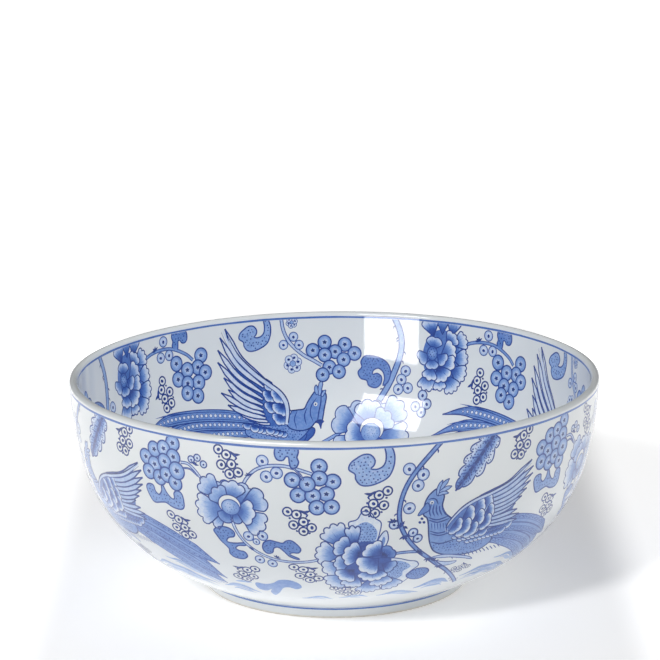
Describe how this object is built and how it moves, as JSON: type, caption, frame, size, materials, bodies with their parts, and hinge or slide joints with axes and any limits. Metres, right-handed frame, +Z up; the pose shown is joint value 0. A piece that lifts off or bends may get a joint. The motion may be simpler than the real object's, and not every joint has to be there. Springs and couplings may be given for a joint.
{
  "type": "serving bowl",
  "caption": "Round deep porcelain serving bowl on a low foot ring, glazed all over but for its standing edge, with blue banded lines under the lip and at the foot.",
  "frame": {"origin": "on the axis of revolution, in the plane that the foot ring stands on", "axes": "+Z up along the axis of revolution, from the foot to the open mouth; +X and +Y level, with the bowl the same all round"},
  "size_m": [0.3001, 0.3002, 0.1219],
  "materials": {
    "porcelain_clay": "fired porcelain clay, unglazed where it shows on the standing edge",
    "clear_glaze": "clear, slightly blue, high gloss",
    "cobalt": "cobalt blue under the glaze, glossy"
  },
  "bodies": {
    "root": {"porcelain_body": "porcelain_clay", "foot_ring": "porcelain_clay", "glaze_coat": "clear_glaze", "underside_glaze": "clear_glaze", "cobalt_rim_line_outside": "cobalt", "cobalt_rim_line_inside": "cobalt", "cobalt_foot_line": "cobalt"}
  },
  "joints": []
}
